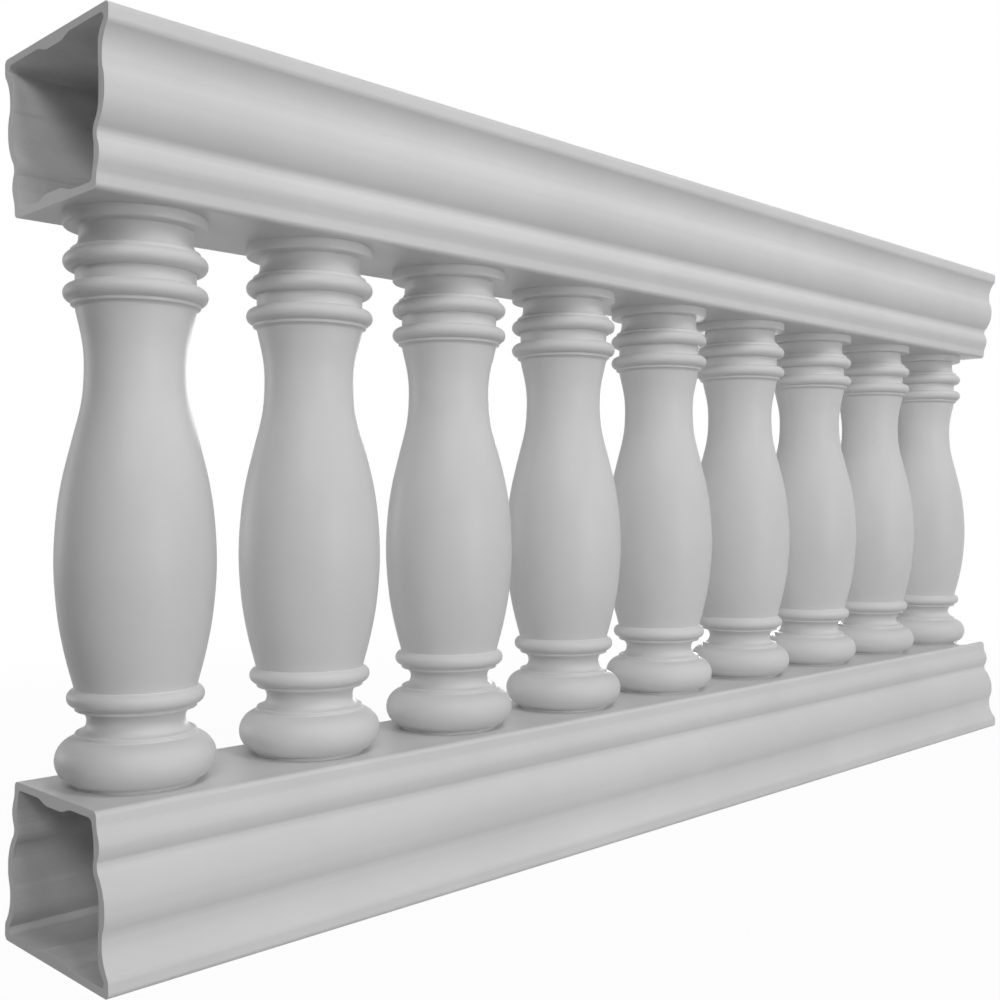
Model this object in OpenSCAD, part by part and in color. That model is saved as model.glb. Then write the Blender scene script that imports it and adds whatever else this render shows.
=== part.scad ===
// Balustrade bay: a moulded top rail and its mirrored bottom rail, both hollow and open at the
// ends, with a row of turned balusters standing between them. Millimetres, +X along the rails,
// +Z up, origin at the centre of the footprint.

/* [Bay] */
// Height over both rails
total_height = 914; // [800:1:1200]
// Number of balusters
baluster_count = 9; // [3:1:15]
// Distance between the axes of neighbouring balusters
baluster_pitch = 217.95; // [180:0.05:300]
// Distance from a rail's end to the axis of the nearest baluster
end_margin = 88.7; // [80:0.1:140]

/* [Rail outside] */
// Height of each rail
rail_height = 168.3; // [160:0.1:200]
// Width over the two noses, the widest part of the rail
rail_width = 224.6; // [200:0.1:260]
// Radius of the nose's outer corner
nose_radius = 6; // [2:0.5:8]
// Height of the upright nose
nose_height = 17.5; // [14:0.5:22]
// How far the cove stands back from the nose
cove_inset = 12.8; // [8:0.1:18]
// Depth of the cove's foot under the rail's wide face
cove_depth = 55.5; // [52:0.5:57]
// How far the ovolo stands back from the nose
ovolo_inset = 7.8; // [5:0.1:10]
// Depth at which the ovolo turns in to the groove
ovolo_depth = 97.3; // [92:0.1:100]
// How far the groove stands back from the nose
groove_inset = 22.5; // [16:0.1:26]
// Depth of the groove's foot
groove_depth = 121; // [119:0.5:122]
// How far the bead stands back from the nose
bead_inset = 17.8; // [14:0.1:20]
// Depth at which the bead turns in to the frieze
bead_depth = 139.3; // [137:0.1:142]
// How far the frieze at the balusters stands back from the nose
frieze_inset = 23.2; // [18:0.1:26]

/* [Rail inside] */
// Thickness of the rail's two flat plates
plate_thickness = 7.8; // [5:0.1:10]
// Thickness of the rail's side walls at the cove
side_thickness = 7.8; // [5:0.1:10]
// Thickness of the pad along the middle of each plate
pad_thickness = 13; // [11:0.1:18]
// Width of the pad's flat
pad_width = 35; // [20:1:60]
// Width over the pad's sloping sides
pad_spread = 66; // [62:1:90]

/* [Baluster vase] */
// Radius of the vase's belly
belly_radius = 80.5; // [70:0.1:88]
// Radius of the vase's waist
waist_radius = 51.6; // [40:0.1:58]
// Radius of the vase at its foot
vase_foot_radius = 61; // [58:0.1:62]
// Radius of the vase at its head
vase_head_radius = 59.6; // [58:0.1:62]

/* [Baluster capital] */
// Radius of the flat cap under the top rail
cap_radius = 72; // [66:0.1:80]
// Thickness of the cap
cap_thickness = 13; // [9:0.1:18]
// Radius of the rounding along the cap's lower edge
cap_rounding = 2.5; // [1:0.5:6]
// Radius of the hollow that leads from the necking out to the cap
cap_hollow = 1; // [0.5:0.5:6]
// Outer radius of the capital's two rings
ring_radius = 72.1; // [70:0.1:78]
// Thickness of each ring
ring_thickness = 18.2; // [16:0.1:20]
// Radius of the flat bands beside the rings
band_radius = 64.5; // [63:0.1:66]
// Height of each flat band
band_height = 3.6; // [2:0.1:5]
// Radius of the necking under the cap
necking_radius = 56.7; // [50:0.1:58]
// Height from the cap down to the flat band
necking_height = 21.7; // [19:0.1:28]
// Height over which the necking sweeps out to the flat band
necking_sweep = 13; // [8:0.5:15]
// Radius of the collar between the two rings
collar_radius = 60.2; // [57:0.1:62]
// Height of the collar between the two rings
collar_height = 14.8; // [9:0.1:18]

/* [Baluster base] */
// Radius of the foot that stands on the bottom rail
foot_radius = 60; // [58:0.5:70]
// How far the foot lifts the base ring off the bottom rail
foot_height = 3; // [2:0.1:8]
// Outer radius of the base ring
base_ring_radius = 80.1; // [74:0.1:88]
// Thickness of the base ring
base_ring_thickness = 46.4; // [40:0.1:54]
// Radius of the bands above and below the hollow
base_band_radius = 60.5; // [59:0.1:61]
// Height of the band below the hollow
lower_band_height = 4.8; // [3:0.1:8]
// Height of the band above the hollow
upper_band_height = 3.8; // [3:0.1:8]
// Radius of the rounding along the lower band's upper edge
lower_band_rounding = 2; // [0.5:0.1:2.8]
// Radius at the middle of the hollow
hollow_radius = 49; // [42:0.1:52]
// Height of the hollow
hollow_height = 22.2; // [16:0.1:26]
// Outer radius of the shoulder ring that carries the vase
shoulder_ring_radius = 68.5; // [65:0.1:72]
// Thickness of the shoulder ring
shoulder_ring_thickness = 18; // [14:0.5:22]

/* [Hidden] */
$fn = 96;

// Derived sizes of the bay
bay_length = (baluster_count - 1) * baluster_pitch + 2 * end_margin;
baluster_height = total_height - 2 * rail_height;
nose_y = rail_width / 2;

// Radii of the arcs that round the turns of the rail's outline
nose_foot_blend = 3;
cove_blend = 42;
cove_foot_blend = 4;
ovolo_blend = 50;
ovolo_foot_blend = 44;
groove_blend = 11;
groove_foot_blend = 7;
bead_blend = 24;
frieze_blend = 16;
seat_blend = 7.5;

// Slopes between the mouldings, in mm outward for each mm downward
cove_slope = 0.92;
ovolo_slope = 0.45;
groove_slope = 0.93;
bead_slope = 0.55;
frieze_slope = 0.39;
// How far the nose and the frieze lean inward over their height
nose_lean = 0.6;
frieze_lean = 1.2;

// Radii of the arcs inside the rail
pad_blend = 24;
inner_corner_blend = 7;
inner_wall_blend = 28;
inner_groove_blend = 14;
// Extra thickness of the side wall behind the corners, the ovolo and the bead
corner_backing = 1.4;
ovolo_backing = 3.6;
bead_backing = 3.2;

FIBERGLASS = [0.86, 0.86, 0.87];
// Most that one step of an arc turns, in degrees
ARC_STEP = 8;
// Steps of each quarter curve that leads from one radius to the next
QUARTER_STEPS = 8;
// Steps between two stations of the vase
VASE_STEPS = 4;
// Stations of the vase: the share of its height, and where it is from waist (0) to belly (1)
VASE_STATIONS = [
    [0.10, 0.660], [0.20, 0.885], [0.325, 1], [0.45, 0.923], [0.55, 0.732],
    [0.65, 0.420], [0.75, 0.099], [0.83, 0], [0.91, 0.036]
];

// --- Outlines ---

function unit(v) = v / norm(v);

function turned(v, angle) = [
    v[0] * cos(angle) - v[1] * sin(angle),
    v[0] * sin(angle) + v[1] * cos(angle)
];

function point(corner) = [corner[0], corner[1]];

// Half of the angle between the two sides that meet in corner i
function half_angle(path, i) =
    acos(unit(point(path[i - 1]) - point(path[i])) * unit(point(path[i + 1]) - point(path[i]))) / 2;

// Length of side that the arc in corner i takes up
function tangent(path, i) =
    i == 0 || i == len(path) - 1 ? 0 : path[i][2] / tan(half_angle(path, i));

// Share of their radii that the two arcs on the side after corner i have room for
function room(path, i) =
    let (needed = tangent(path, i) + tangent(path, i + 1))
    needed == 0 ? 1 : min(1, 0.99 * norm(point(path[i + 1]) - point(path[i])) / needed);

// The points of the arc that rounds corner i
function rounded_corner(path, i) =
    let (
        here = point(path[i]),
        back = unit(point(path[i - 1]) - here),
        ahead = unit(point(path[i + 1]) - here),
        half = half_angle(path, i),
        radius = path[i][2] * min(room(path, i - 1), room(path, i)),
        centre = here + unit(back + ahead) * radius / sin(half),
        sweep = 180 - 2 * half,
        steps = max(1, ceil(sweep / ARC_STEP)),
        side = cross(back, ahead) > 0 ? -1 : 1,
        start = here + back * radius / tan(half) - centre
    )
    [for (k = [0:steps]) centre + turned(start, side * sweep * k / steps)];

// An open path of [y, z, radius] corners, with every corner between its ends rounded
function rounded_path(path) = [
    for (i = [0:len(path) - 1])
        if (i == 0 || i == len(path) - 1) point(path[i])
        else each rounded_corner(path, i)
];

// A half outline from middle to middle, closed by its own mirror image
function both_sides(half) = concat(half, [
    for (i = [len(half) - 2:-1:1]) [-half[i][0], half[i][1]]
]);

// A smooth curve through every station after the first, up to the last but one
function smooth_curve(stations, steps) = [
    for (i = [1:len(stations) - 3], k = [0:steps - 1])
        let (a = stations[i - 1], b = stations[i], c = stations[i + 1], d = stations[i + 2], t = k / steps)
        b + ((c - a) * t + (2 * a - 5 * b + 4 * c - d) * t * t + (3 * b - a - 3 * c + d) * t * t * t) / 2
];

// --- Rail, with z measured inward from its wide flat face ---

cove_y = nose_y - cove_inset;
ovolo_y = nose_y - ovolo_inset;
groove_y = nose_y - groove_inset;
bead_y = nose_y - bead_inset;
frieze_y = nose_y - frieze_inset;
cove_z = nose_height + (nose_y - nose_lean - cove_y) / cove_slope;
groove_z = ovolo_depth + (ovolo_y - groove_y) / groove_slope;

module rail_outline() {
    polygon(both_sides(rounded_path([
        [0, 0, 0],
        [nose_y, 0, nose_radius],
        [nose_y - nose_lean, nose_height, nose_foot_blend],
        [cove_y, cove_z, cove_blend],
        [cove_y, cove_depth, cove_foot_blend],
        [ovolo_y, cove_depth + (ovolo_y - cove_y) / ovolo_slope, ovolo_blend],
        [ovolo_y, ovolo_depth, ovolo_foot_blend],
        [groove_y, groove_z, groove_blend],
        [groove_y, groove_depth, groove_foot_blend],
        [bead_y, groove_depth + (bead_y - groove_y) / bead_slope, bead_blend],
        [bead_y, bead_depth, bead_blend],
        [frieze_y, bead_depth + (bead_y - frieze_y) / frieze_slope, frieze_blend],
        [frieze_y - frieze_lean, rail_height, seat_blend],
        [0, rail_height, 0]
    ])));
}

module rail_hollow() {
    nose_in = nose_y - side_thickness - corner_backing;
    cove_in = cove_y - side_thickness;
    ovolo_in = ovolo_y - side_thickness - ovolo_backing;
    groove_in = groove_y - side_thickness;
    bead_in = bead_y - side_thickness - bead_backing;
    seat_in = frieze_y - frieze_lean - side_thickness - corner_backing;
    cove_in_z = cove_z - side_thickness / 2;
    groove_in_z = groove_z - side_thickness / 2;
    polygon(both_sides(rounded_path([
        [0, pad_thickness, 0],
        [pad_width / 2, pad_thickness, pad_blend],
        [pad_spread / 2, plate_thickness, pad_blend],
        [nose_in, plate_thickness, inner_corner_blend],
        [nose_in, cove_in_z - (nose_in - cove_in) / cove_slope, inner_corner_blend],
        [cove_in, cove_in_z, inner_wall_blend],
        [cove_in, cove_depth, inner_wall_blend],
        [ovolo_in, cove_depth + (ovolo_in - cove_in) / ovolo_slope, inner_wall_blend],
        [ovolo_in, groove_in_z - (ovolo_in - groove_in) / groove_slope, inner_wall_blend],
        [groove_in, groove_in_z, inner_groove_blend],
        [groove_in, groove_depth, inner_groove_blend],
        [bead_in, groove_depth + (bead_in - groove_in) / bead_slope, inner_groove_blend],
        [bead_in, bead_depth, inner_wall_blend],
        [seat_in, rail_height - plate_thickness, inner_corner_blend],
        [pad_spread / 2, rail_height - plate_thickness, pad_blend],
        [pad_width / 2, rail_height - pad_thickness, pad_blend],
        [0, rail_height - pad_thickness, 0]
    ])));
}

// A rail with its wide face on z = 0
module rail() {
    translate([-bay_length / 2, 0, 0])
        rotate([90, 0, 90])
            linear_extrude(bay_length)
                difference() {
                    rail_outline();
                    rail_hollow();
                }
}

module bottom_rail() {
    color(FIBERGLASS) rail();
}

module top_rail() {
    color(FIBERGLASS)
        translate([0, 0, total_height])
            mirror([0, 0, 1])
                rail();
}

// --- Baluster, with z measured up from its foot ---

// How far a ring reaches up or down from its middle to where it meets the radius beside it
function ring_reach(outer_radius, thickness, radius) =
    sqrt(pow(thickness / 2, 2) - pow(radius - outer_radius + thickness / 2, 2));

// Heights in the base, from the foot up
base_ring_z = foot_height + base_ring_thickness / 2;
lower_band_z = base_ring_z + ring_reach(base_ring_radius, base_ring_thickness, base_band_radius);
hollow_z = lower_band_z + lower_band_height;
upper_band_z = hollow_z + hollow_height;
shoulder_z = upper_band_z + upper_band_height
    + ring_reach(shoulder_ring_radius, shoulder_ring_thickness, base_band_radius);
vase_foot_z = shoulder_z
    + ring_reach(shoulder_ring_radius, shoulder_ring_thickness, vase_foot_radius);

// Heights in the capital, from the top rail down
cap_z = baluster_height - cap_thickness;
top_band_z = cap_z - necking_height;
band_reach = ring_reach(ring_radius, ring_thickness, band_radius);
collar_reach = ring_reach(ring_radius, ring_thickness, collar_radius);
upper_ring_z = top_band_z - band_height - band_reach;
lower_ring_z = upper_ring_z - 2 * collar_reach - collar_height;
head_band_z = lower_ring_z - band_reach - band_height;
vase_head_z = head_band_z - (band_radius - vase_head_radius);

// A quarter curve from a point on an upright wall to a point on a flat face. It is hollow where
// the face stands out from the wall, and round where the face lies inside it.
function quarter(wall, face) = [
    for (k = [0:QUARTER_STEPS])
        let (a = 90 * k / QUARTER_STEPS)
        [face[0] - (face[0] - wall[0]) * cos(a), wall[1] + (face[1] - wall[1]) * sin(a)]
];

function reversed(list) = [for (i = [len(list) - 1:-1:0]) list[i]];

function vase_curve() =
    let (
        height = vase_head_z - vase_foot_z,
        bulge = belly_radius - waist_radius,
        foot = [vase_foot_radius, vase_foot_z],
        head = [vase_head_radius, vase_head_z],
        between = [for (s = VASE_STATIONS) [waist_radius + s[1] * bulge, vase_foot_z + s[0] * height]],
        stations = concat([2 * foot - between[0], foot], between, [head, 2 * head - between[8]])
    )
    smooth_curve(stations, VASE_STEPS);

// The lower band's rounded edge and the hollow above it, up to the underside of the upper band
function base_hollow() =
    let (
        edge = base_band_radius - lower_band_rounding,
        middle = [hollow_radius, hollow_z + hollow_height / 2]
    )
    concat(
        quarter([base_band_radius, hollow_z - lower_band_rounding], [edge, hollow_z]),
        reversed(quarter(middle, [edge, hollow_z])),
        quarter(middle, [edge, upper_band_z])
    );

module ring(z, outer_radius, thickness) {
    translate([outer_radius - thickness / 2, z]) circle(d = thickness);
}

module baluster_profile() {
    polygon(concat(
        [[0, 0], [foot_radius, 0], [foot_radius, base_ring_z], [base_band_radius, base_ring_z]],
        base_hollow(),
        [[base_band_radius, upper_band_z], [base_band_radius, shoulder_z]],
        [[vase_foot_radius, shoulder_z]],
        vase_curve(),
        quarter([vase_head_radius, vase_head_z], [band_radius, head_band_z]),
        [[band_radius, lower_ring_z], [collar_radius, lower_ring_z]],
        [[collar_radius, upper_ring_z], [band_radius, upper_ring_z]],
        reversed(quarter([necking_radius, top_band_z + necking_sweep], [band_radius, top_band_z])),
        quarter([necking_radius, cap_z - cap_hollow], [necking_radius + cap_hollow, cap_z]),
        reversed(quarter([cap_radius, cap_z + cap_rounding], [cap_radius - cap_rounding, cap_z])),
        [[cap_radius, baluster_height], [0, baluster_height]]
    ));
    ring(base_ring_z, base_ring_radius, base_ring_thickness);
    ring(shoulder_z, shoulder_ring_radius, shoulder_ring_thickness);
    ring(lower_ring_z, ring_radius, ring_thickness);
    ring(upper_ring_z, ring_radius, ring_thickness);
}

module baluster(number) {
    color(FIBERGLASS)
        translate([baluster_pitch * (number - (baluster_count + 1) / 2), 0, rail_height])
            rotate_extrude()
                baluster_profile();
}

// --- The bay ---

bottom_rail();
top_rail();
for (i = [1:baluster_count])
    baluster(i);
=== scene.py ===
"""Fiberglass balustrade bay: two hollow moulded rails and a row of turned balusters.

Laid out as an add-on: sizes and colours are scene properties, each group of pieces has an
operator, and a panel in the 3D view's sidebar lists them. Lengths are in metres.
"""

import math

import bpy
from bpy.props import FloatProperty, FloatVectorProperty, IntProperty, PointerProperty
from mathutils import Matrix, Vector


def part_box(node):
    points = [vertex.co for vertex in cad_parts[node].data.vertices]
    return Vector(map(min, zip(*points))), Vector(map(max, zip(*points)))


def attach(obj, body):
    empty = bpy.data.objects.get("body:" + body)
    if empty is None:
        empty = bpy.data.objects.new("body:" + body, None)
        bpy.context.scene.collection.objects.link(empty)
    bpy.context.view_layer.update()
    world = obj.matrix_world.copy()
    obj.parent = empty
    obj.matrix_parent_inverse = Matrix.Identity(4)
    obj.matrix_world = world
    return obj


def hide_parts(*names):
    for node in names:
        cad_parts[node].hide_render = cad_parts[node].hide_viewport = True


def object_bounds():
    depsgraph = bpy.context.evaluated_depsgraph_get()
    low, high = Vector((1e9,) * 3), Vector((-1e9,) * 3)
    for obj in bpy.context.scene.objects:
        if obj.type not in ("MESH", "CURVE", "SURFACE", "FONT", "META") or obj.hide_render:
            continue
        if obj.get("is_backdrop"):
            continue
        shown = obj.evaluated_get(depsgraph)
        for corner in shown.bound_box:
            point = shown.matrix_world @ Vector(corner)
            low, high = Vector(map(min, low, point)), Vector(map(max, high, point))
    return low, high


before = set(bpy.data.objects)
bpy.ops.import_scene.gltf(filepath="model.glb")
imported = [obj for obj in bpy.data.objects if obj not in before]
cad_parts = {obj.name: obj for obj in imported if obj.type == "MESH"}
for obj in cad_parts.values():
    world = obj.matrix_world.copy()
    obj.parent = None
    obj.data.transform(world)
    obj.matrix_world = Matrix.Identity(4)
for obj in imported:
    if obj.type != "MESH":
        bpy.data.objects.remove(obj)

bl_info = {
    "name": "Fiberglass Balustrade",
    "version": (1, 0, 0),
    "blender": (4, 5, 0),
    "location": "3D View > Sidebar > Balustrade",
    "description": "Hollow moulded rails and turned balusters of a fiberglass balustrade bay",
    "category": "Add Mesh",
}

MM = 0.001
ROOT = "root"
BALUSTERS = sorted(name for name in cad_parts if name.startswith("baluster_"))
WHITE = (1, 1, 1)


def length(label, millimetres, description):
    """A length property with its default given in millimetres."""
    return FloatProperty(
        name=label,
        description=description,
        default=millimetres * MM,
        min=0,
        precision=4,
        unit="LENGTH",
        subtype="DISTANCE",
    )


def colour(label, red, green, blue, description):
    """A colour property, in linear values."""
    return FloatVectorProperty(
        name=label,
        description=description,
        default=(red, green, blue),
        min=0,
        max=1,
        size=3,
        subtype="COLOR",
    )


def share(label, default, description):
    """A plain number from 0 to 1."""
    return FloatProperty(name=label, description=description, default=default, min=0, max=1)


def angle(label, degrees, description):
    """An angle property with its default given in degrees."""
    return FloatProperty(
        name=label, description=description, default=math.radians(degrees), subtype="ANGLE"
    )


def watts(label, power, description):
    """A lamp's power."""
    return FloatProperty(name=label, description=description, default=power, min=0, unit="POWER")


class RailSizes(bpy.types.PropertyGroup):
    """The moulding of the rails. Insets count from the nose, depths from the wide flat face."""

    nose_radius: length("Nose radius", 6, "Radius of the nose's outer corner")
    nose_height: length("Nose height", 17.5, "Height of the upright nose")
    nose_lean: length("Nose lean", 0.6, "How far the nose leans inward over its height")
    cove_inset: length("Cove inset", 12.8, "How far the cove stands back from the nose")
    cove_depth: length("Cove depth", 55.5, "Depth of the cove's foot")
    ovolo_inset: length("Ovolo inset", 7.8, "How far the ovolo stands back from the nose")
    ovolo_depth: length("Ovolo depth", 97.3, "Depth at which the ovolo turns in")
    groove_inset: length("Groove inset", 22.5, "How far the groove stands back from the nose")
    groove_depth: length("Groove depth", 121, "Depth of the groove's foot")
    bead_inset: length("Bead inset", 17.8, "How far the bead stands back from the nose")
    bead_depth: length("Bead depth", 139.3, "Depth at which the bead turns in")
    frieze_inset: length("Frieze inset", 23.2, "How far the frieze stands back from the nose")
    frieze_lean: length("Frieze lean", 1.2, "How far the frieze leans inward over its height")
    plate: length("Plate thickness", 7.8, "Thickness of the two flat plates")
    side: length("Side thickness", 7.8, "Thickness of the side walls at the cove")
    pad: length("Pad thickness", 13, "Thickness of the pad along the middle of each plate")
    pad_width: length("Pad width", 35, "Width of the pad's flat")
    pad_spread: length("Pad spread", 66, "Width over the pad's sloping sides")
    end_softness: length("End softness", 0.09, "Most width of the rounding along the cut ends")


class BalusterSizes(bpy.types.PropertyGroup):
    """The turned outline of a baluster."""

    belly: length("Belly radius", 80.5, "Radius of the vase's belly")
    waist: length("Waist radius", 51.6, "Radius of the vase's waist")
    vase_foot: length("Vase foot radius", 61, "Radius of the vase at its foot")
    vase_head: length("Vase head radius", 59.6, "Radius of the vase at its head")
    cap: length("Cap radius", 72, "Radius of the flat cap under the top rail")
    cap_thickness: length("Cap thickness", 12.3, "Thickness of the cap")
    cap_rounding: length("Cap rounding", 2.5, "Radius of the rounding on its lower edge")
    cap_hollow: length("Cap hollow", 1, "Radius of the hollow from the necking to the cap")
    ring: length("Ring radius", 72.1, "Outer radius of the capital's two rings")
    ring_thickness: length("Ring thickness", 18.2, "Thickness of each ring")
    band: length("Band radius", 64.5, "Radius of the flat bands beside the rings")
    band_height: length("Band height", 3.6, "Height of each flat band")
    necking: length("Necking radius", 56.7, "Radius of the necking under the cap")
    necking_height: length("Necking height", 22.4, "Height from the cap down to the band")
    necking_sweep: length("Necking sweep", 13, "Height over which it sweeps out to the band")
    collar: length("Collar radius", 60.2, "Radius of the collar between the rings")
    collar_height: length("Collar height", 14.8, "Height of the collar between the rings")
    foot: length("Foot radius", 60, "Radius of the foot on the bottom rail")
    foot_height: length("Foot height", 3, "How far it lifts the base ring off the rail")
    base_ring: length("Base ring radius", 80.1, "Outer radius of the base ring")
    base_thickness: length("Base ring thickness", 46.4, "Thickness of the base ring")
    base_band: length("Base band radius", 60.5, "Radius of the bands beside the hollow")
    lower_band_height: length("Lower band height", 4.8, "Height of the band below the hollow")
    upper_band_height: length("Upper band height", 3.8, "Height of the band above the hollow")
    lower_band_rounding: length("Lower band rounding", 2, "Rounding on its upper edge")
    hollow: length("Hollow radius", 49, "Radius at the middle of the hollow")
    hollow_height: length("Hollow height", 22.2, "Height of the hollow")
    shoulder: length("Shoulder radius", 68.5, "Outer radius of the ring under the vase")
    shoulder_thickness: length("Shoulder thickness", 18, "Thickness of the shoulder ring")
    edge_softness: length("Edge softness", 0.86, "Most width of the rounding on sharp edges")
    sides: IntProperty(name="Sides", description="Facets round a baluster", default=128, min=24)


class Finish(bpy.types.PropertyGroup):
    """Colours and surface of the gel coat and of the rails' bare inside."""

    coat: colour("Gel coat", 0.72, 0.72, 0.72, "Main colour of the gel coat")
    coat_shade: colour("Gel coat shade", 0.68, 0.68, 0.68, "Colour of its faint cloudy patches")
    # The bare inside's colour is painted lighter than the gel coat, as painted light standing in
    # for the light that reaches inside the rails
    bare: colour("Bare inside", 0.85, 0.85, 0.85, "Colour inside the rails")
    roughness: share("Roughness", 0.45, "Roughness of the gel coat")
    gloss: share("Gloss", 0.25, "Strength of the gel coat's reflections")
    bare_roughness: share("Bare roughness", 0.7, "Roughness inside the rails")


class Studio(bpy.types.PropertyGroup):
    """Camera and lights."""

    camera_left: length("Camera left", 536.1, "Distance from the bay's left end to the camera")
    camera_front: length("Camera front", 1152.9, "Distance from the middle plane to the camera")
    camera_turn: angle("Camera turn", 45, "Angle between the view and a straight front view")
    lens: FloatProperty(name="Lens", description="Focal length in mm", default=44.046, min=10)
    key_power: watts("Key lamp", 78, "Power of the high lamp in front")
    front_power: watts("Front lamp", 99, "Power of the low lamp in front")
    left_power: watts("Left lamp", 70, "Power of the lamp in front, to the left")
    right_power: watts("Right lamp", 46, "Power of the lamp in front, to the right")
    back_left_power: watts("Back left lamp", 48, "Power of the low lamp behind, to the left")
    back_right_power: watts("Back right lamp", 220, "Power of the low lamp behind, to the right")
    ambient: share("Ambient", 0.01, "Strength of the even light from all round")
    floor: colour("Floor", 0.47, 0.47, 0.47, "Colour of the floor")
    shadow: share("Floor shadow", 0.03, "How much of its shading the floor near the bay keeps")


# --- Drawing and shaping in edit mode ---

# Two lengths that differ by less than this are the same for modelling
SAME = 0.02 * MM
# Least length of an edge that runs from end to end of a rail
LONG_EDGE = 0.5
# Edges that turn by more than this are softened, in this many steps
SOFTENED_ANGLE = math.radians(40)
SOFT_SEGMENTS = 3
# Edges that turn by more than this keep their line when the faces are shaded smooth
SHARP_ANGLE = math.radians(50)
# Most that one step of an arc in a rail's outline turns, in degrees
RAIL_ARC_STEP = 6


def deselect_all():
    """Leaves edit mode and clears the selection."""
    if bpy.context.object and bpy.context.object.mode != "OBJECT":
        bpy.ops.object.mode_set(mode="OBJECT")
    bpy.ops.object.select_all(action="DESELECT")


def only(piece):
    """Makes a piece the one selected and active object."""
    deselect_all()
    piece.select_set(True)
    bpy.context.view_layer.objects.active = piece


def start_piece(name):
    """Names the primitive just added and opens it for shaping."""
    piece = bpy.context.object
    piece.name = name
    piece.data.name = name
    bpy.ops.object.transform_apply(location=True, rotation=True, scale=True)
    bpy.ops.object.mode_set(mode="EDIT")
    return piece


def pick(piece, kind, wanted):
    """Selects only the vertices, edges or faces for which wanted(element) is true."""
    bpy.ops.object.mode_set(mode="OBJECT")
    mesh = piece.data
    groups = {"VERT": mesh.vertices, "EDGE": mesh.edges, "FACE": mesh.polygons}
    for group in groups.values():
        group.foreach_set("select", [False] * len(group))
    groups[kind].foreach_set("select", [bool(wanted(element)) for element in groups[kind]])
    bpy.context.tool_settings.mesh_select_mode = tuple(mode == kind for mode in groups)
    bpy.ops.object.mode_set(mode="EDIT")


def add_modifier(piece, kind, **settings):
    """Adds a modifier, sets it and applies it."""
    bpy.context.view_layer.objects.active = piece
    bpy.ops.object.modifier_add(type=kind)
    modifier = piece.modifiers[-1]
    for key, value in settings.items():
        setattr(modifier, key, value)
    bpy.ops.object.modifier_apply(modifier=modifier.name)


def copy_piece(piece, name):
    """Copies a piece and opens the copy for shaping, with all of it selected."""
    only(piece)
    bpy.ops.object.duplicate(linked=False)
    copy = bpy.context.object
    copy.name = name
    copy.data.name = name
    bpy.ops.object.mode_set(mode="EDIT")
    bpy.ops.mesh.select_all(action="SELECT")
    return copy


def near(a, b):
    """Whether two lengths are the same for modelling."""
    return abs(a - b) < SAME


def long_edges_at(piece, y, z):
    """A test for the edges that run along the rail at this height and this far to either side."""
    points = piece.data.vertices

    def wanted(edge):
        a, b = (points[i].co for i in edge.vertices)
        along = near(a.y, b.y) and near(a.z, b.z) and abs(a.x - b.x) > LONG_EDGE
        return along and near(abs(a.y), y) and near(a.z, z)

    return wanted


def tangent(before, here, after, radius):
    """Length of side that an arc of this radius takes from a corner."""
    back = (Vector(before) - Vector(here)).normalized()
    ahead = (Vector(after) - Vector(here)).normalized()
    return radius / math.tan(back.angle(ahead) / 2)


def arc_segments(before, here, after):
    """Segments that keep each step of the arc in a corner small, and at least two of them."""
    turn = math.pi - (Vector(before) - Vector(here)).angle(Vector(after) - Vector(here))
    return max(2, math.ceil(math.degrees(turn) / RAIL_ARC_STEP))


def close_shaping():
    """Turns all faces outward and leaves edit mode."""
    bpy.ops.mesh.select_all(action="SELECT")
    bpy.ops.mesh.normals_make_consistent(inside=False)
    bpy.ops.object.mode_set(mode="OBJECT")


def remove_piece(piece):
    """Deletes a helper solid once it has been used."""
    mesh = piece.data
    bpy.data.objects.remove(piece)
    bpy.data.meshes.remove(mesh)


def soften(piece, width, seats=()):
    """Rounds a piece's sharp edges, but for those that lie in a seat at one of these heights.

    Short steps beside an edge hold the width back, so a larger one than the defaults does nothing.
    """
    only(piece)
    bpy.ops.object.mode_set(mode="EDIT")
    bpy.context.tool_settings.mesh_select_mode = (False, True, False)
    bpy.ops.mesh.select_all(action="DESELECT")
    bpy.ops.mesh.edges_select_sharp(sharpness=SOFTENED_ANGLE)
    bpy.ops.object.mode_set(mode="OBJECT")
    points = piece.data.vertices
    for edge in piece.data.edges:
        level = [points[i].co.z for i in edge.vertices]
        if any(near(level[0], seat) and near(level[1], seat) for seat in seats):
            edge.select = False
    bpy.ops.object.mode_set(mode="EDIT")
    bpy.ops.mesh.bevel(offset=width, segments=SOFT_SEGMENTS, affect="EDGES", clamp_overlap=True)
    bpy.ops.object.mode_set(mode="OBJECT")


def smooth(piece):
    """Smooth shading that keeps flat faces flat and square corners sharp."""
    only(piece)
    bpy.ops.object.shade_smooth_by_angle(angle=SHARP_ANGLE)
    add_modifier(piece, "WEIGHTED_NORMAL", keep_sharp=True)


def hand_over(piece, node):
    """Smooths a finished piece, and lets it ride on the bay and replace its node of the CAD."""
    smooth(piece)
    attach(piece, ROOT)
    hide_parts(node)


# --- Rails ---

# Slopes between the mouldings, in length outward for each length downward
COVE_SLOPE = 0.92
OVOLO_SLOPE = 0.45
GROOVE_SLOPE = 0.93
BEAD_SLOPE = 0.55
FRIEZE_SLOPE = 0.39

# Radii of the arcs that round the corners of the moulding
NOSE_FOOT_BLEND = 9 * MM
COVE_BLEND = 37 * MM
COVE_FOOT_BLEND = 22 * MM
OVOLO_BLEND = 33 * MM
OVOLO_FOOT_BLEND = 44 * MM
GROOVE_BLEND = 11 * MM
GROOVE_FOOT_BLEND = 7 * MM
BEAD_BLEND = 24 * MM
FRIEZE_BLEND = 16 * MM
SEAT_BLEND = 6 * MM

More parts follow.
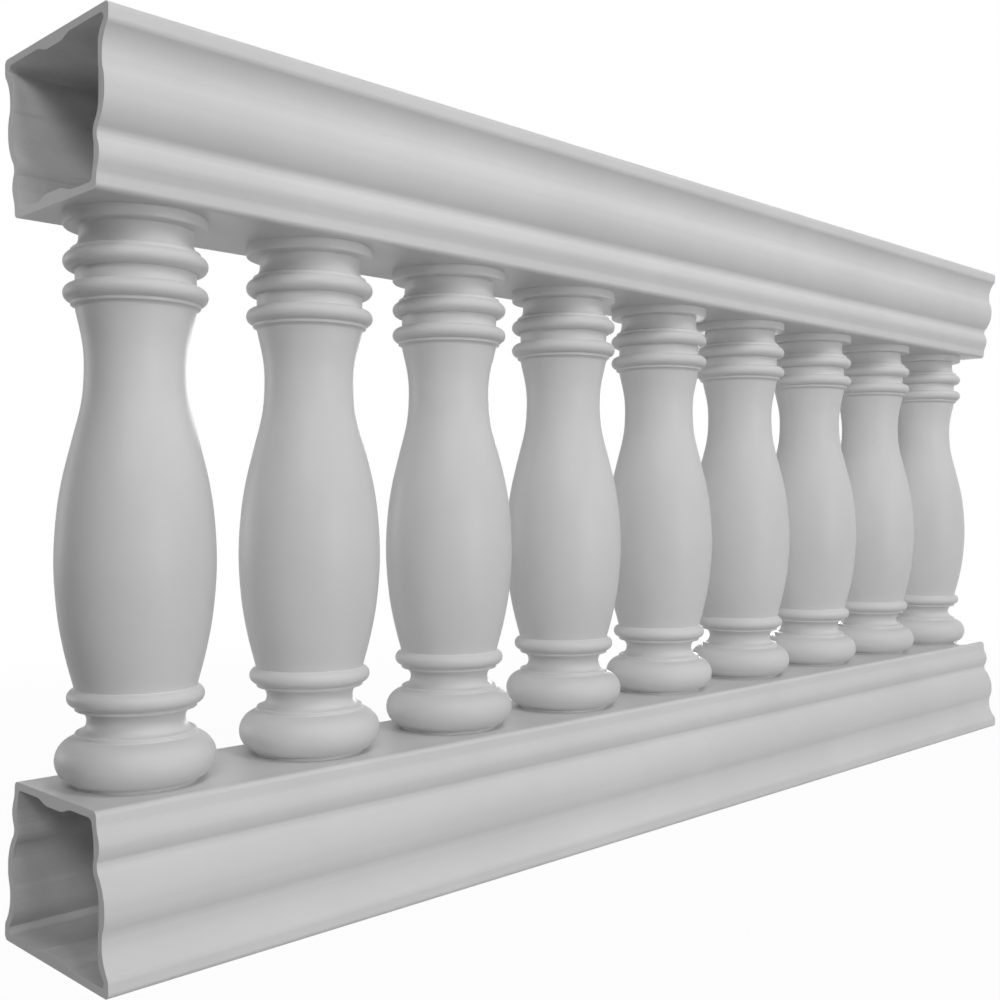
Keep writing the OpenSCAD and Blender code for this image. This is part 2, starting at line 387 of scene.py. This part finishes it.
# Radii of the arcs inside the rail
PAD_BLEND = 24 * MM
INNER_CORNER_BLEND = 7 * MM
INNER_COVE_BLEND = 20 * MM
INNER_COVE_FOOT_BLEND = 10 * MM
INNER_OVOLO_BLEND = 10 * MM
INNER_OVOLO_FOOT_BLEND = 28 * MM
INNER_GROOVE_BLEND = 14 * MM
INNER_GROOVE_FOOT_BLEND = 12 * MM
INNER_BEAD_BLEND = 14 * MM
INNER_BEAD_FOOT_BLEND = 20 * MM
# Extra thickness of the side wall behind the corners, the ovolo and the bead
CORNER_BACKING = 1.4 * MM
OVOLO_BACKING = 3.6 * MM
BEAD_BACKING = 3.2 * MM
# How much longer than the rail the solid is that hollows it out
HOLLOW_EXCESS = 40 * MM


def moulding_corners(sizes, half_width, height):
    """The corners of the moulding as (half width, depth, radius of the arc that rounds it)."""
    cove = half_width - sizes.cove_inset
    ovolo = half_width - sizes.ovolo_inset
    groove = half_width - sizes.groove_inset
    bead = half_width - sizes.bead_inset
    frieze = half_width - sizes.frieze_inset
    nose_foot = half_width - sizes.nose_lean
    return [
        (half_width, 0, sizes.nose_radius),
        (nose_foot, sizes.nose_height, NOSE_FOOT_BLEND),
        (cove, sizes.nose_height + (nose_foot - cove) / COVE_SLOPE, COVE_BLEND),
        (cove, sizes.cove_depth, COVE_FOOT_BLEND),
        (ovolo, sizes.cove_depth + (ovolo - cove) / OVOLO_SLOPE, OVOLO_BLEND),
        (ovolo, sizes.ovolo_depth, OVOLO_FOOT_BLEND),
        (groove, sizes.ovolo_depth + (ovolo - groove) / GROOVE_SLOPE, GROOVE_BLEND),
        (groove, sizes.groove_depth, GROOVE_FOOT_BLEND),
        (bead, sizes.groove_depth + (bead - groove) / BEAD_SLOPE, BEAD_BLEND),
        (bead, sizes.bead_depth, BEAD_BLEND),
        (frieze, sizes.bead_depth + (bead - frieze) / FRIEZE_SLOPE, FRIEZE_BLEND),
        (frieze - sizes.frieze_lean, height, SEAT_BLEND),
    ]


def hollow_corners(sizes, half_width, height):
    """The corners of the hollow inside the moulding, in the same form."""
    side = sizes.side
    nose = half_width - side - CORNER_BACKING
    cove = half_width - sizes.cove_inset - side
    ovolo = half_width - sizes.ovolo_inset - side - OVOLO_BACKING
    groove = half_width - sizes.groove_inset - side
    bead = half_width - sizes.bead_inset - side - BEAD_BACKING
    seat = half_width - sizes.frieze_inset - sizes.frieze_lean - side - CORNER_BACKING
    outer_run = sizes.cove_inset - sizes.nose_lean
    cove_z = sizes.nose_height + outer_run / COVE_SLOPE - side / 2
    outer_turn = sizes.groove_inset - sizes.ovolo_inset
    groove_z = sizes.ovolo_depth + outer_turn / GROOVE_SLOPE - side / 2
    return [
        (nose, sizes.plate, INNER_CORNER_BLEND),
        (nose, cove_z - (nose - cove) / COVE_SLOPE, INNER_CORNER_BLEND),
        (cove, cove_z, INNER_COVE_BLEND),
        (cove, sizes.cove_depth, INNER_COVE_FOOT_BLEND),
        (ovolo, sizes.cove_depth + (ovolo - cove) / OVOLO_SLOPE, INNER_OVOLO_BLEND),
        (ovolo, groove_z - (ovolo - groove) / GROOVE_SLOPE, INNER_OVOLO_FOOT_BLEND),
        (groove, groove_z, INNER_GROOVE_BLEND),
        (groove, sizes.groove_depth, INNER_GROOVE_FOOT_BLEND),
        (bead, sizes.groove_depth + (bead - groove) / BEAD_SLOPE, INNER_BEAD_BLEND),
        (bead, sizes.bead_depth, INNER_BEAD_FOOT_BLEND),
        (seat, height - sizes.plate, INNER_CORNER_BLEND),
    ]


def shape_moulding(name, corners, run):
    """A bar along X, cut at the corners' depths, drawn in to their half widths and rounded."""
    widest = max(corner[0] for corner in corners)
    top, bottom = corners[0][1], corners[-1][1]
    bpy.ops.mesh.primitive_cube_add(
        size=1, location=(0, 0, (top + bottom) / 2), scale=(run, 2 * widest, bottom - top)
    )
    bar = start_piece(name)
    for _, depth, _ in corners[1:-1]:
        bpy.ops.mesh.select_all(action="SELECT")
        bpy.ops.mesh.bisect(plane_co=(0, 0, depth), plane_no=(0, 0, 1))
    for half_width, depth, _ in corners:
        pick(bar, "VERT", lambda v: near(v.co.z, depth))
        narrowing = (1, half_width / widest, 1)
        bpy.ops.transform.resize(value=narrowing, center_override=(0, 0, depth))
    path = [(0, top), *(corner[:2] for corner in corners), (0, bottom)]
    for before, here, after, corner in zip(path, path[1:], path[2:], corners):
        round_edges(bar, before, here, after, corner[2])
    return bar


def round_edges(bar, before, here, after, radius):
    """Rounds the two long edges of a bar at (y, z) = here by an arc of this radius."""
    pick(bar, "EDGE", long_edges_at(bar, *here))
    bpy.ops.mesh.bevel(
        offset=tangent(before, here, after, radius),
        offset_type="OFFSET",
        segments=arc_segments(before, here, after),
        profile=0.5,
        affect="EDGES",
        clamp_overlap=False,
    )


def press_pads(hollow, sizes, corners):
    """Presses the hollow in along the middle of both plates, where the pads are thicker."""
    inner, outer = sizes.pad_width / 2, sizes.pad_spread / 2
    rise = sizes.pad - sizes.plate
    for y in (-outer, -inner, inner, outer):
        bpy.ops.mesh.select_all(action="SELECT")
        bpy.ops.mesh.bisect(plane_co=(0, y, 0), plane_no=(0, 1, 0))
    for face_z, step in ((corners[0][1], rise), (corners[-1][1], -rise)):
        pick(hollow, "VERT", lambda v: near(v.co.z, face_z) and abs(v.co.y) < inner + SAME)
        bpy.ops.transform.translate(value=(0, 0, step))
        path = [(0, face_z + step), (inner, face_z + step), (outer, face_z), (2 * outer, face_z)]
        for before, here, after in zip(path, path[1:], path[2:]):
            round_edges(hollow, before, here, after, PAD_BLEND)


def model_rail(name, sizes, low, high, finish):
    """A hollow rail that fills the box from low to high, with its wide flat face down."""
    run = high.x - low.x
    height = high.z - low.z
    half_width = (high.y - low.y) / 2

    deselect_all()
    rail = shape_moulding(name, moulding_corners(sizes, half_width, height), run)
    close_shaping()
    rail.data.materials.append(gel_coat(finish))

    inside = hollow_corners(sizes, half_width, height)
    hollow = shape_moulding("rail_hollow", inside, run + HOLLOW_EXCESS)
    press_pads(hollow, sizes, inside)
    close_shaping()
    hollow.data.materials.append(bare_inside(finish))

    cut = {"operation": "DIFFERENCE", "solver": "EXACT", "material_mode": "TRANSFER"}
    add_modifier(rail, "BOOLEAN", object=hollow, **cut)
    remove_piece(hollow)
    soften(rail, sizes.end_softness)
    return rail


def mirror_rail(rail, name, middle_z):
    """A copy of a rail turned upside down about the long axis at this height."""
    copy = copy_piece(rail, name)
    bpy.ops.transform.rotate(value=math.pi, orient_axis="X", center_override=(0, 0, middle_z))
    close_shaping()
    return copy


class BALUSTRADE_OT_rails(bpy.types.Operator):
    """Build the two hollow moulded rails"""

    bl_idname = "balustrade.rails"
    bl_label = "Rails"
    bl_options = {"REGISTER", "UNDO"}

    def execute(self, context):
        scene = context.scene
        low, high = (Vector(corner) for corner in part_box("bottom_rail"))
        middle_z = (low.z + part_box("top_rail")[1][2]) / 2
        bottom = model_rail("moulded_bottom_rail", scene.rail_sizes, low, high, scene.finish)
        top = mirror_rail(bottom, "moulded_top_rail", middle_z)
        hand_over(bottom, "bottom_rail")
        hand_over(top, "top_rail")
        return {"FINISHED"}


# --- Balusters ---

# Stations of the vase: the share of its height, and where it is from waist (0) to belly (1)
VASE_STATIONS = (
    (0.10, 0.660), (0.20, 0.885), (0.325, 1), (0.45, 0.923), (0.55, 0.732),
    (0.65, 0.420), (0.75, 0.099), (0.83, 0), (0.91, 0.036),
)
# Steps between two stations of the vase
VASE_STEPS = 6
# Most that one step of a ring's outline turns, in degrees
RING_ARC_STEP = 10
# Steps of each quarter curve that leads from one radius to the next
QUARTER_STEPS = 9
# Points closer than this become one where the spin closes
MERGE_DISTANCE = 0.01 * MM


def reach(outer, thickness, radius):
    """How far a ring reaches from its middle to where it meets the radius beside it."""
    return math.sqrt((thickness / 2) ** 2 - (radius - outer + thickness / 2) ** 2)


def ring_arc(outer, thickness, middle, below, above):
    """Outline of a half-round ring from the radius below it round to the radius above it."""
    centre, r = outer - thickness / 2, thickness / 2
    first = -math.acos((below - centre) / r)
    last = math.acos((above - centre) / r)
    steps = math.ceil(math.degrees(last - first) / RING_ARC_STEP)
    turns = (first + (last - first) * i / steps for i in range(steps + 1))
    return [(centre + r * math.cos(a), middle + r * math.sin(a)) for a in turns]


def quarter(wall, face):
    """Quarter curve from a point on an upright wall to a point on a flat face.

    It is hollow where the face stands out from the wall, and round where the face lies inside it.
    """
    run, rise = face[0] - wall[0], face[1] - wall[1]
    turns = (math.pi / 2 * i / QUARTER_STEPS for i in range(QUARTER_STEPS + 1))
    return [(face[0] - run * math.cos(a), wall[1] + rise * math.sin(a)) for a in turns]


def smooth_curve(stations, steps):
    """Points of a smooth curve from the second station up to, but without, the last but one."""
    points = []
    for a, b, c, d in zip(stations, stations[1:], stations[2:], stations[3:]):
        for k in range(steps):
            t = k / steps
            square = (2 * a - 5 * b + 4 * c - d) * t * t
            cube = (3 * b - a - 3 * c + d) * t * t * t
            points.append(tuple(b + ((c - a) * t + square + cube) / 2))
    return points


def hollow_outline(sizes, low, high):
    """The rounded edge of the lower band, the hollow above it and the edge of the upper band."""
    edge = sizes.base_band - sizes.lower_band_rounding
    middle = (sizes.hollow, low + sizes.hollow_height / 2)
    outline = quarter((sizes.base_band, low - sizes.lower_band_rounding), (edge, low))
    outline += quarter(middle, (edge, low))[::-1]
    outline += quarter(middle, (edge, high))
    return outline + [(sizes.base_band, high)]


def base_outline(sizes):
    """The base from the foot up to the vase: a ring, a hollow between bands, and a shoulder."""
    base_z = sizes.foot_height + sizes.base_thickness / 2
    band_z = base_z + reach(sizes.base_ring, sizes.base_thickness, sizes.base_band)
    hollow_z = band_z + sizes.lower_band_height
    upper_band_z = hollow_z + sizes.hollow_height
    shoulder_z = upper_band_z + sizes.upper_band_height
    shoulder_z += reach(sizes.shoulder, sizes.shoulder_thickness, sizes.base_band)
    outline = [(sizes.foot, 0)]
    outline += ring_arc(sizes.base_ring, sizes.base_thickness, base_z, sizes.foot, sizes.base_band)
    outline += hollow_outline(sizes, hollow_z, upper_band_z)
    outline += ring_arc(
        sizes.shoulder, sizes.shoulder_thickness, shoulder_z, sizes.base_band, sizes.vase_foot
    )
    return outline


def vase_outline(sizes, foot, head):
    """The vase between its foot and its head, as one smooth curve without its two ends."""
    rise = head.y - foot.y
    bulge = sizes.belly - sizes.waist
    between = [Vector((sizes.waist + s * bulge, foot.y + h * rise)) for h, s in VASE_STATIONS]
    stations = [2 * foot - between[0], foot, *between, head, 2 * head - between[-1]]
    return smooth_curve(stations, VASE_STEPS)[1:]


def capital_outline(sizes, height):
    """The capital from the vase up to the flat cap: a band, two rings, a collar, a necking."""
    cap_z = height - sizes.cap_thickness
    top_band_z = cap_z - sizes.necking_height
    band_reach = reach(sizes.ring, sizes.ring_thickness, sizes.band)
    collar_reach = reach(sizes.ring, sizes.ring_thickness, sizes.collar)
    upper_ring_z = top_band_z - sizes.band_height - band_reach
    lower_ring_z = upper_ring_z - 2 * collar_reach - sizes.collar_height
    head_band_z = lower_ring_z - band_reach - sizes.band_height
    vase_head_z = head_band_z - (sizes.band - sizes.vase_head)
    neck_low = (sizes.necking, top_band_z + sizes.necking_sweep)
    neck_high = (sizes.necking, cap_z - sizes.cap_hollow)
    cap_side = (sizes.cap, cap_z + sizes.cap_rounding)

    outline = quarter((sizes.vase_head, vase_head_z), (sizes.band, head_band_z))
    outline += ring_arc(sizes.ring, sizes.ring_thickness, lower_ring_z, sizes.band, sizes.collar)
    outline += ring_arc(sizes.ring, sizes.ring_thickness, upper_ring_z, sizes.collar, sizes.band)
    outline += quarter(neck_low, (sizes.band, top_band_z))[::-1]
    outline += quarter(neck_high, (sizes.necking + sizes.cap_hollow, cap_z))
    outline += quarter(cap_side, (sizes.cap - sizes.cap_rounding, cap_z))[::-1]
    return outline + [(sizes.cap, height)]


def baluster_outline(sizes, height):
    """The turned outline from the foot's middle to the head's, as (radius, height) points."""
    base = base_outline(sizes)
    capital = capital_outline(sizes, height)
    vase = vase_outline(sizes, Vector(base[-1]), Vector(capital[0]))
    return [(0, 0), *base, *vase, *capital, (0, height)]


def turn_baluster(name, outline, sides, low, axis):
    """Draws the outline from a point on the axis at the height low, and spins it once round."""
    bpy.ops.mesh.primitive_plane_add(size=MM, location=(axis.x, axis.y, low))
    piece = start_piece(name)
    bpy.context.tool_settings.mesh_select_mode = (True, False, False)
    bpy.ops.mesh.select_all(action="SELECT")
    bpy.ops.mesh.merge(type="CENTER")
    for (r0, z0), (r1, z1) in zip(outline, outline[1:]):
        step = (r1 - r0, 0, z1 - z0)
        bpy.ops.mesh.extrude_vertices_move(TRANSFORM_OT_translate={"value": step})
    bpy.ops.mesh.select_all(action="SELECT")
    bpy.ops.mesh.spin(
        steps=sides, angle=2 * math.pi, center=(axis.x, axis.y, 0), axis=(0, 0, 1)
    )
    bpy.ops.mesh.select_all(action="SELECT")
    bpy.ops.mesh.remove_doubles(threshold=MERGE_DISTANCE)
    close_shaping()
    return piece


class BALUSTRADE_OT_balusters(bpy.types.Operator):
    """Turn one baluster and set a copy at each place between the rails"""

    bl_idname = "balustrade.balusters"
    bl_label = "Balusters"
    bl_options = {"REGISTER", "UNDO"}

    def execute(self, context):
        sizes = context.scene.baluster_sizes
        low, high = (Vector(corner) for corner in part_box(BALUSTERS[0]))
        axis = (low + high) / 2
        outline = baluster_outline(sizes, high.z - low.z)

        deselect_all()
        first = turn_baluster("turned_" + BALUSTERS[0], outline, sizes.sides, low.z, axis)
        first.data.materials.append(gel_coat(context.scene.finish))
        soften(first, sizes.edge_softness, seats=(low.z, high.z))
        pieces = [first]
        for node in BALUSTERS[1:]:
            low, high = (Vector(corner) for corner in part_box(node))
            copy = copy_piece(first, "turned_" + node)
            offset = (low + high) / 2 - axis
            bpy.ops.transform.translate(value=(offset.x, offset.y, 0))
            close_shaping()
            pieces.append(copy)
        for piece, node in zip(pieces, BALUSTERS):
            hand_over(piece, node)
        return {"FINISHED"}


# --- Finishes ---

# Lumps to the metre in the gel coat's clouds, specks, uneven sheen, orange peel and slow waves
CLOUD_SCALE = 5
SPECK_SCALE = 160
SHEEN_SCALE = 11
PEEL_SCALE = 320
WAVE_SCALE = 14
# Parts of the noise that are stretched to the whole, for clouds and patches and for specks
CLOUD_PART = (0.35, 0.65)
SPECK_PART = (0.55, 0.8)
# How strongly the specks, the uneven sheen and the peel show
SPECK_SHARE = 0.15
SHEEN_SHARE = 0.12
PEEL_SHARE = 0.06
# Lumps to the metre along X, Y and Z of each layer of strands inside the rails
STRAND_SCALES = ((40, 260, 260), (150, 60, 60), (70, 140, 240))
PATCH_SCALE = 9
# How much rougher the patches inside the rails are
PATCH_SHARE = 0.05
# Depths of the two finishes' bumps
COAT_DEPTH = 0.6 * MM
STRAND_DEPTH = 0.5 * MM


class Value:
    """A number that varies over a surface. Sums and products add Math nodes."""

    def __init__(self, shader, socket):
        self.shader = shader
        self.socket = socket

    def _math(self, operation, *values):
        """Adds a Math node that works on these values."""
        return self.shader.node("ShaderNodeMath", {"operation": operation}, dict(enumerate(values)))

    def __add__(self, other):
        return self._math("ADD", self, other)

    def __radd__(self, other):
        return self._math("ADD", other, self)

    def __sub__(self, other):
        return self._math("SUBTRACT", self, other)

    def __rsub__(self, other):
        return self._math("SUBTRACT", other, self)

    def __mul__(self, other):
        return self._math("MULTIPLY", self, other)

    def __rmul__(self, other):
        return self._math("MULTIPLY", other, self)


class Shader:
    """A new material or world whose nodes are added by one method."""

    def __init__(self, owner):
        owner.use_nodes = True
        self.tree = owner.node_tree
        self.tree.nodes.clear()

    def node(self, kind, settings=None, sockets=None, output=0):
        """Adds a node, sets it up, fills its sockets and returns one of its outputs."""
        made = self.tree.nodes.new(kind)
        for key, value in (settings or {}).items():
            setattr(made, key, value)
        for key, value in (sockets or {}).items():
            self.fill(made.inputs[key], value)
        return Value(self, made.outputs[output]) if made.outputs else None

    def fill(self, socket, value):
        """Links a varying value to a socket, or sets a constant on it."""
        if isinstance(value, Value):
            self.tree.links.new(value.socket, socket)
        elif socket.type == "RGBA":
            socket.default_value = (*value, 1)
        else:
            socket.default_value = value

    def place(self):
        """Where a point is on the piece, in metres."""
        return self.node("ShaderNodeTexCoord", output="Object")

    def stretched(self, place, scale):
        """The same place with each direction scaled by itself."""
        return self.node("ShaderNodeMapping", None, {"Vector": place, "Scale": scale})

    def noise(self, place, scale, detail=2):
        """Noise between 0 and 1, with this many lumps to the metre."""
        sockets = {"Vector": place, "Scale": scale, "Detail": detail}
        return self.node("ShaderNodeTexNoise", None, sockets)

    def spread(self, value, low, high):
        """Stretches the part of a value between low and high to 0 to 1."""
        sockets = {"Value": value, "From Min": low, "From Max": high}
        return self.node("ShaderNodeMapRange", {"clamp": True}, sockets)

    def blend(self, factor, first, second):
        """Mixes two colours with a Mix node, whose sockets are found by their identifiers."""
        made = self.tree.nodes.new("ShaderNodeMix")
        made.data_type = "RGBA"
        inputs = {socket.identifier: socket for socket in made.inputs}
        outputs = {socket.identifier: socket for socket in made.outputs}
        self.fill(inputs["Factor_Float"], factor)
        self.fill(inputs["A_Color"], first)
        self.fill(inputs["B_Color"], second)
        return Value(self, outputs["Result_Color"])

    def surface(self, sockets, height, depth):
        """The closing nodes: a bump of this depth in metres under a plastic surface."""
        relief = {"Strength": 1, "Distance": depth, "Height": height}
        bump = self.node("ShaderNodeBump", None, relief)
        shaded = self.node("ShaderNodeBsdfPrincipled", None, {**sockets, "Normal": bump})
        self.node("ShaderNodeOutputMaterial", None, {"Surface": shaded})


def new_finish(name):
    """The material of this name with a fresh node tree, or None if it was made before."""
    if name in bpy.data.materials:
        return bpy.data.materials[name], None
    material = bpy.data.materials.new(name)
    return material, Shader(material)


def gel_coat(finish):
    """Matte gel coat: faint cloudy patches, uneven sheen and a fine orange peel."""
    material, shader = new_finish("moulded_gel_coat")
    if shader is None:
        return material
    place = shader.place()
    clouds = shader.spread(shader.noise(place, CLOUD_SCALE, detail=3), *CLOUD_PART)
    specks = shader.spread(shader.noise(place, SPECK_SCALE), *SPECK_PART)
    tone = shader.blend(clouds, finish.coat, finish.coat_shade)
    tone = shader.blend(specks * SPECK_SHARE, tone, finish.coat_shade)
    unevenness = shader.noise(place, SHEEN_SCALE, detail=3) - 0.5
    sheen = finish.roughness + unevenness * SHEEN_SHARE
    peel = shader.noise(place, PEEL_SCALE, detail=1)
    waves = shader.noise(place, WAVE_SCALE, detail=1)
    sockets = {"Base Color": tone, "Roughness": sheen, "Specular IOR Level": finish.gloss}
    shader.surface(sockets, peel * PEEL_SHARE + waves, COAT_DEPTH)
    return material


def bare_inside(finish):
    """The rails' inside, where short glass strands show under a thin coat. Its colour is painted
    lighter, as painted light for the light that reaches inside.
    """
    material, shader = new_finish("bare_inside")
    if shader is None:
        return material
    place = shader.place()
    strands = 0
    for scale in STRAND_SCALES:
        strands = shader.noise(shader.stretched(place, scale), 1) + strands
    patches = shader.spread(shader.noise(place, PATCH_SCALE, detail=4), *CLOUD_PART)
    # The bare colour is painted lighter than the coat: painted light inside the rails, over its
    # real strands and patches
    tone = shader.blend(patches, finish.bare, finish.coat_shade)
    sheen = PATCH_SHARE * patches + finish.bare_roughness
    shader.surface({"Base Color": tone, "Roughness": sheen}, strands, STRAND_DEPTH)
    return material


# --- Stage ---

# Distances from the bay's middle at which the floor keeps its shading in full, and not at all
SHADOW_FULL = 1.0
SHADOW_GONE = 2.6
FLOOR_SIZE = 60
# Width of the camera's sensor, in millimetres as the lens is
SENSOR_WIDTH = 36


def studio_floor(studio, low):
    """A pale floor that looks white, and keeps a soft shadow under the bay."""
    bpy.ops.mesh.primitive_plane_add(size=FLOOR_SIZE, location=(0, 0, low))
    floor = bpy.context.object
    floor.name = "studio_floor"
    material = bpy.data.materials.new("studio_floor")
    floor.data.materials.append(material)
    shader = Shader(material)
    paper = shader.node("ShaderNodeBsdfDiffuse", None, {"Color": studio.floor})
    glow = shader.node("ShaderNodeEmission", None, {"Color": WHITE, "Strength": 1})
    place = shader.place()
    away = shader.node("ShaderNodeVectorMath", {"operation": "LENGTH"}, {0: place}, "Value")
    near_bay = 1 - shader.spread(away, SHADOW_FULL, SHADOW_GONE)
    direct = seen_directly(shader) * (1 - near_bay * studio.shadow)
    mixed = shader.node("ShaderNodeMixShader", None, {0: direct, 1: paper, 2: glow})
    shader.node("ShaderNodeOutputMaterial", None, {"Surface": mixed})
    floor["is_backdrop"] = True


def seen_directly(shader):
    """1 where the camera, a reflection or glass looks straight at a surface, else 0."""
    ways = ("Is Camera Ray", "Is Glossy Ray", "Is Transmission Ray")
    camera, glossy, clear = (shader.node("ShaderNodeLightPath", output=way) for way in ways)
    return shader.node("ShaderNodeClamp", None, {"Value": camera + glossy + clear})


# Name of each lamp, its turn to the right from straight in front, and its height above the
# horizon, in degrees
LAMPS = (
    ("key", -15, 50),
    ("front", 0, 5),
    ("left", -45, 30),
    ("right", 45, 30),
    ("back_left", -150, 5),
    ("back_right", 120, 5),
)
# Distance of the lamps from the bay's middle, and the length of their sides
LAMP_DISTANCE = 6
LAMP_SIZE = 1.8


def soft_lamp(name, turn, tilt, power, target):
    """A large square lamp that faces the target from this turn and height, in radians."""
    level = math.cos(tilt)
    aim = Vector((math.sin(turn) * level, -math.cos(turn) * level, math.sin(tilt)))
    bpy.ops.object.light_add(type="AREA", location=target + aim * LAMP_DISTANCE)
    lamp = bpy.context.object
    lamp.name = name
    lamp.rotation_euler = aim.to_track_quat("Z", "Y").to_euler()
    lamp.data.shape = "SQUARE"
    lamp.data.size = LAMP_SIZE
    lamp.data.energy = power


def studio_world(studio):
    """Even light from all round, with a backdrop that looks white."""
    world = bpy.data.worlds.new("studio_world")
    shader = Shader(world)
    ambient = {"Color": WHITE, "Strength": studio.ambient}
    light = shader.node("ShaderNodeBackground", None, ambient)
    white = shader.node("ShaderNodeBackground", None, {"Color": WHITE, "Strength": 1})
    sockets = {0: seen_directly(shader), 1: light, 2: white}
    mixed = shader.node("ShaderNodeMixShader", None, sockets)
    shader.node("ShaderNodeOutputWorld", None, {"Surface": mixed})
    return world


def studio_camera(studio, left, height):
    """A level camera beyond the bay's left end, turned toward the bay."""
    place = (left - studio.camera_left, -studio.camera_front, height)
    turn = (math.pi / 2, 0, -studio.camera_turn)
    bpy.ops.object.camera_add(location=place, rotation=turn)
    camera = bpy.context.object
    camera.name = "camera"
    camera.data.lens = studio.lens
    camera.data.sensor_width = SENSOR_WIDTH
    return camera


class BALUSTRADE_OT_stage(bpy.types.Operator):
    """Set up the floor, the backdrop, the lamps and the camera"""

    bl_idname = "balustrade.stage"
    bl_label = "Stage"
    bl_options = {"REGISTER", "UNDO"}

    def execute(self, context):
        scene = context.scene
        studio = scene.studio
        low, high = (Vector(corner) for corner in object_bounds())
        middle = (low + high) / 2
        deselect_all()
        studio_floor(studio, low.z)
        for name, turn, tilt in LAMPS:
            power = getattr(studio, name + "_power")
            soft_lamp(name + "_lamp", math.radians(turn), math.radians(tilt), power, middle)
        scene.world = studio_world(studio)
        scene.camera = studio_camera(studio, low.x, middle.z)
        scene.view_settings.view_transform = "Standard"
        return {"FINISHED"}


# --- Panel and registration ---


class BALUSTRADE_PT_panel(bpy.types.Panel):
    """Sizes, colours and build steps of the balustrade"""

    bl_idname = "BALUSTRADE_PT_panel"
    bl_label = "Fiberglass Balustrade"
    bl_space_type = "VIEW_3D"
    bl_region_type = "UI"
    bl_category = "Balustrade"

    def draw(self, context):
        layout = self.layout
        for title, name in GROUPS:
            box = layout.box()
            box.label(text=title)
            group = getattr(context.scene, name)
            for key in type(group).__annotations__:
                box.prop(group, key)
        for step in STEPS:
            layout.operator(step.bl_idname)


GROUPS = (
    ("Rails", "rail_sizes"),
    ("Balusters", "baluster_sizes"),
    ("Finish", "finish"),
    ("Studio", "studio"),
)
STEPS = (BALUSTRADE_OT_rails, BALUSTRADE_OT_balusters, BALUSTRADE_OT_stage)
CLASSES = (RailSizes, BalusterSizes, Finish, Studio, *STEPS, BALUSTRADE_PT_panel)


def register():
    """Adds the classes, and the sizes, colours and studio settings to the scene."""
    for cls in CLASSES:
        bpy.utils.register_class(cls)
    bpy.types.Scene.rail_sizes = PointerProperty(type=RailSizes)
    bpy.types.Scene.baluster_sizes = PointerProperty(type=BalusterSizes)
    bpy.types.Scene.finish = PointerProperty(type=Finish)
    bpy.types.Scene.studio = PointerProperty(type=Studio)


def unregister():
    """Takes away what register added."""
    for _, name in GROUPS:
        delattr(bpy.types.Scene, name)
    for cls in reversed(CLASSES):
        bpy.utils.unregister_class(cls)


def main():
    """Builds the bay and its stage."""
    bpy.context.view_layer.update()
    register()
    bpy.ops.balustrade.rails()
    bpy.ops.balustrade.balusters()
    bpy.ops.balustrade.stage()


if __name__ == "__main__":
    main()
